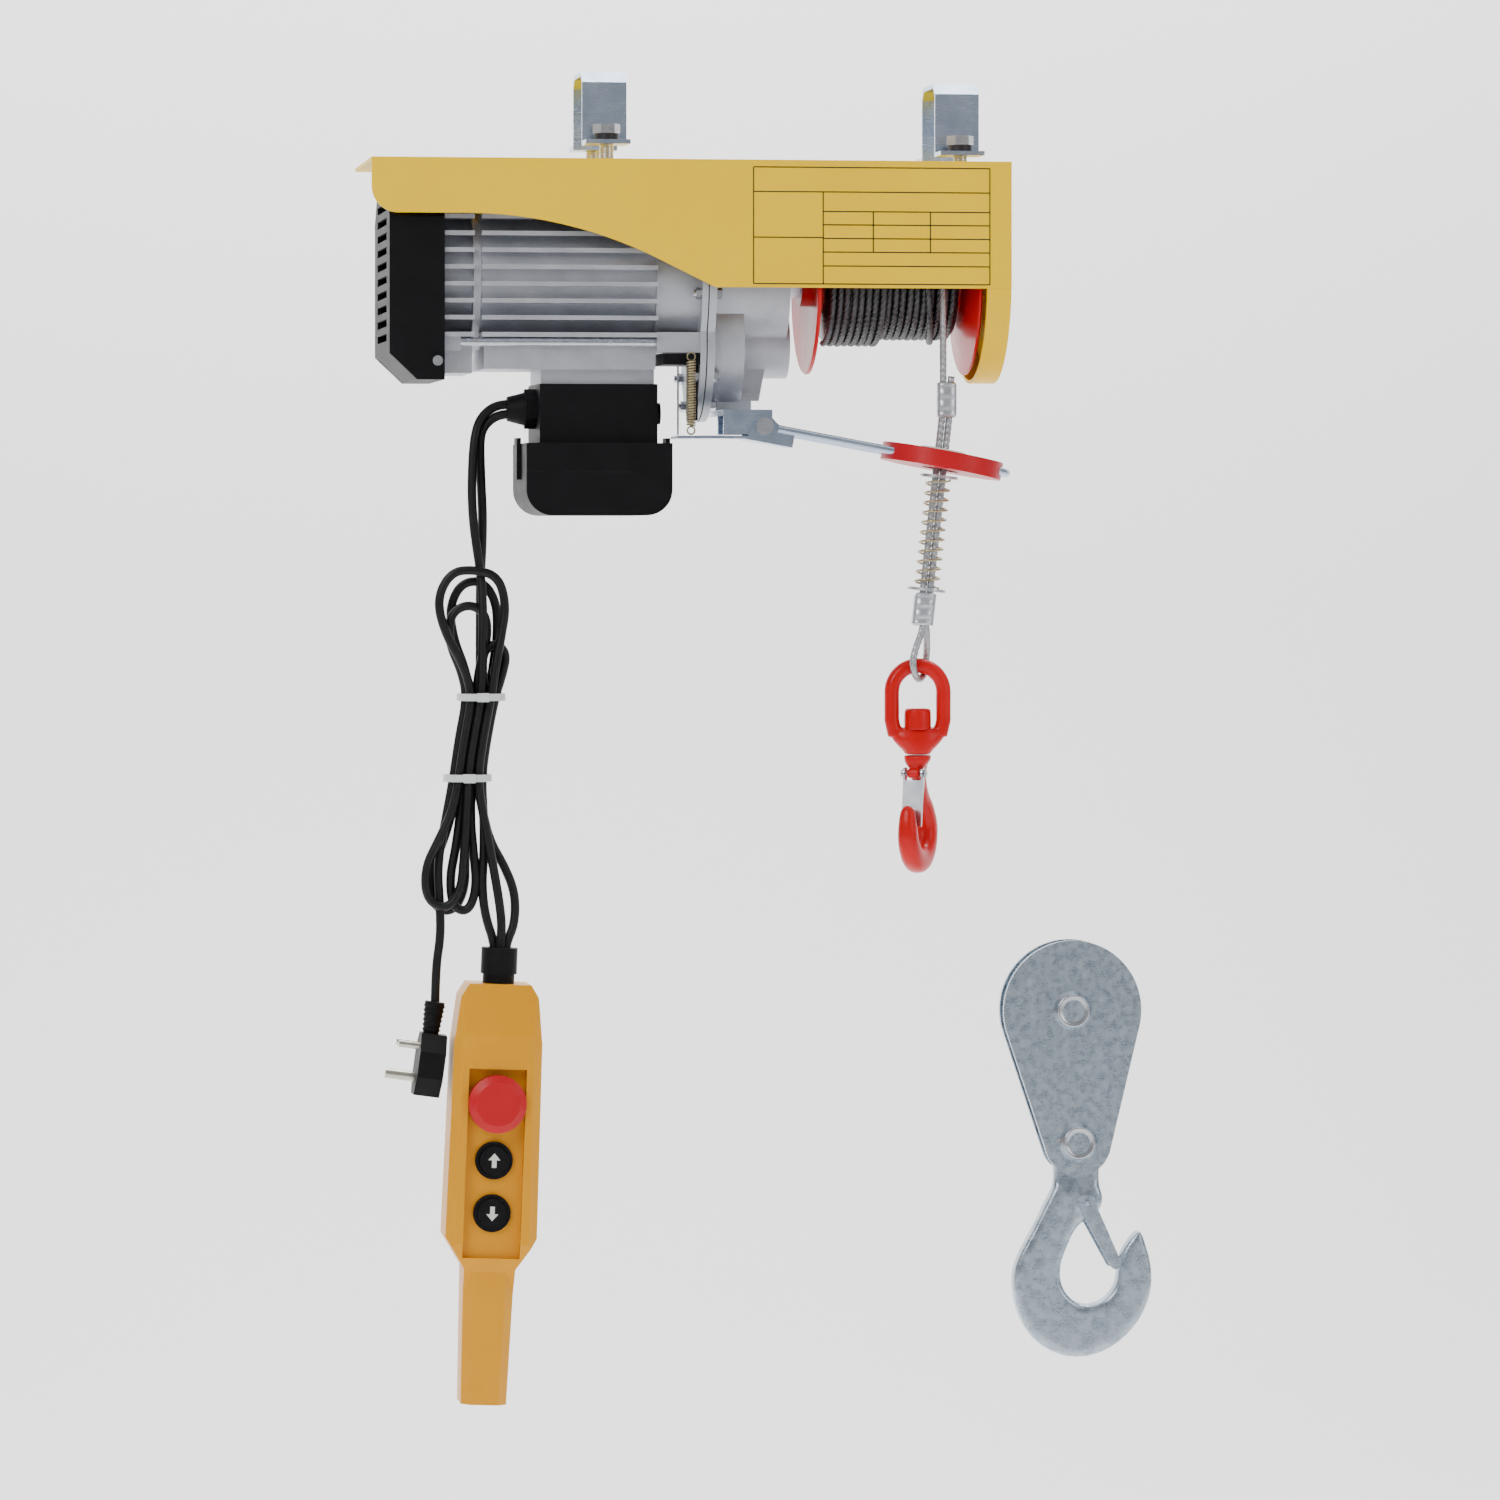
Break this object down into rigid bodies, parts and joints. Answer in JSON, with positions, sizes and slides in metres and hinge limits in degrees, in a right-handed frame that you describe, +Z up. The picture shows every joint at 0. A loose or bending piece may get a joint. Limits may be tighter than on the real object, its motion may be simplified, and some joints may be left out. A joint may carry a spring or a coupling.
{
  "type": "electric wire rope hoist",
  "caption": "Electric wire rope hoist with a boom-clamped motor, gearbox and rope drum, a pendant on tied cords, a swivel hook and a separate hook block.",
  "frame": {"origin": "on the boom's axis, midway between the two boom brackets", "axes": "+X along the boom towards the drum end, +Y away from the operator, +Z up"},
  "size_m": [0.5527, 0.1599, 0.9234],
  "materials": {
    "yellow_paint": "gloss enamel",
    "zinc_plate": "bright zinc",
    "bolt_steel": "zinc",
    "black_steel": "phosphated",
    "black_plastic": "fine grain",
    "cast_aluminium": "as cast",
    "lamination_steel": "laminated",
    "copper": "enamelled",
    "gasket": "matt",
    "bright_steel": "ground",
    "spring_steel": "drawn",
    "pale_plastic": "moulded",
    "cord_rubber": "matt",
    "white_nylon": "moulded",
    "brass": "nickelled",
    "orange_plastic": "moulded",
    "red_paint": "gloss enamel",
    "red_plastic": "moulded",
    "greased_rope": "greased wire rope",
    "bright_rope": "wire rope",
    "ferrule_aluminium": "pressed",
    "galvanised": "hot galvanised"
  },
  "bodies": {
    "root": {"housing_cover": "yellow_paint", "boom_bracket_left": "zinc_plate", "boom_bracket_right": "zinc_plate", "boom_bolts": "bolt_steel", "boom_washers": "black_steel", "fan_cover": "black_plastic", "motor_end_shield": "cast_aluminium", "motor_frame": "cast_aluminium", "stator_core": "lamination_steel", "stator_windings": "copper", "tie_bolts": "bolt_steel", "gearbox_bell": "cast_aluminium", "gearbox_gasket": "gasket", "gearbox_cover": "cast_aluminium", "gearbox_bolts": "bolt_steel", "ball_bearings": "bright_steel", "small_screws": "bolt_steel", "arm_bracket": "zinc_plate", "limit_switch": "black_plastic", "limit_spring": "spring_steel", "limit_wire": "bright_steel", "junction_box": "black_plastic", "junction_box_lid": "black_plastic", "box_wiring": "pale_plastic", "box_glands": "black_plastic", "cord_front": "cord_rubber", "cord_back": "cord_rubber", "cord_hank": "cord_rubber", "cable_ties": "white_nylon", "plug_lead": "cord_rubber", "plug_body": "black_plastic", "plug_pins": "brass", "pendant_shells": "orange_plastic", "pendant_gland": "black_plastic", "button_bezels": "black_plastic"},
    "rotor": {"rotor": "lamination_steel", "cooling_fan": "black_plastic"},
    "lay": {"lay_gear": "bright_steel", "lay_shaft": "bright_steel"},
    "drum": {"drum": "red_paint", "drum_gear": "bright_steel", "drum_shaft": "bright_steel", "rope_winding": "greased_rope"},
    "fall": {"rope_fall": "bright_rope", "hook_rope": "bright_rope", "rope_fittings": "ferrule_aluminium", "buffer_spring": "spring_steel", "hook_link": "red_paint"},
    "hook": {"red_hook": "red_paint"},
    "hook_latch": {"red_hook_latch": "bright_steel"},
    "limit_arm": {"limit_arm": "zinc_plate", "limit_disc": "red_plastic"},
    "estop": {"estop_button": "red_plastic"},
    "button_up": {"up_button": "black_plastic"},
    "button_down": {"down_button": "black_plastic"},
    "block": {"block_plates": "galvanised", "block_pins": "galvanised"},
    "sheave": {"block_sheave": "galvanised"},
    "block_hook": {"block_hook": "galvanised"},
    "block_latch": {"block_latch": "galvanised"}
  },
  "joints": [
    {"name": "rotor_spin", "type": "hinge", "parent": "root", "child": "rotor", "pos_m": [0, 0, -0.105], "axis": [1, 0, 0], "range_deg": [-60, 23460]},
    {"name": "lay_spin", "type": "hinge", "parent": "root", "child": "lay", "pos_m": [0, 0, -0.15], "axis": [1, 0, 0], "range_deg": [-3610, 10]},
    {"name": "drum_spin", "type": "hinge", "parent": "root", "child": "drum", "pos_m": [0, 0, -0.105], "axis": [1, 0, 0], "range_deg": [-2, 722]},
    {"name": "hook_lift", "type": "slide", "parent": "root", "child": "fall", "axis": [0, 0, -1], "range_m": [0, 0.5705], "deforming": ["rope_fall"]},
    {"name": "hook_swivel", "type": "hinge", "parent": "fall", "child": "hook", "pos_m": [0.0933, -0.0454, -0.44], "axis": [0, 0, 1], "continuous": true},
    {"name": "hook_latch_pivot", "type": "hinge", "parent": "hook", "child": "hook_latch", "pos_m": [0.08967, -0.05253, -0.449], "axis": [0.891, -0.454, 0], "range_deg": [0, 20], "stiffness_Nm_per_rad": 0.02, "springref_deg": -17.19},
    {"name": "limit_arm_pivot", "type": "hinge", "parent": "root", "child": "limit_arm", "pos_m": [-0.017, -0.0454, -0.2085], "axis": [0, -1, 0], "range_deg": [0, 6], "stiffness_Nm_per_rad": 4, "springref_deg": -20.05, "deforming": ["limit_spring", "limit_wire"]},
    {"name": "estop_press", "type": "slide", "parent": "root", "child": "estop", "axis": [0, 1, 0], "range_m": [0, 0.004]},
    {"name": "up_press", "type": "slide", "parent": "root", "child": "button_up", "axis": [0, 1, 0], "range_m": [0, 0.003], "stiffness_N_per_m": 400, "springref_m": -0.002},
    {"name": "down_press", "type": "slide", "parent": "root", "child": "button_down", "axis": [0, 1, 0], "range_m": [0, 0.003], "stiffness_N_per_m": 400, "springref_m": -0.002},
    {"name": "block_lift", "type": "slide", "parent": "root", "child": "block", "axis": [0, 0, 1], "range_m": [0, 0.08]},
    {"name": "sheave_spin", "type": "hinge", "parent": "block", "child": "sheave", "pos_m": [0.206, -0.02, -0.6165], "axis": [0, 1, 0], "continuous": true},
    {"name": "block_hook_swing", "type": "hinge", "parent": "block", "child": "block_hook", "pos_m": [0.21, -0.02, -0.709], "axis": [0, 1, 0], "range_deg": [-35, 35]},
    {"name": "block_latch_pivot", "type": "hinge", "parent": "block_hook", "child": "block_latch", "pos_m": [0.2157, -0.02, -0.7516], "axis": [0, 1, 0], "range_deg": [0, 30], "stiffness_Nm_per_rad": 0.05, "springref_deg": -17.19}
  ],
  "couplings": [
    {"joint": "drum_spin", "follows": "hook_lift", "rad_per_m": 22.026},
    {"joint": "lay_spin", "follows": "hook_lift", "rad_per_m": -110.13},
    {"joint": "rotor_spin", "follows": "hook_lift", "rad_per_m": 715.86}
  ]
}
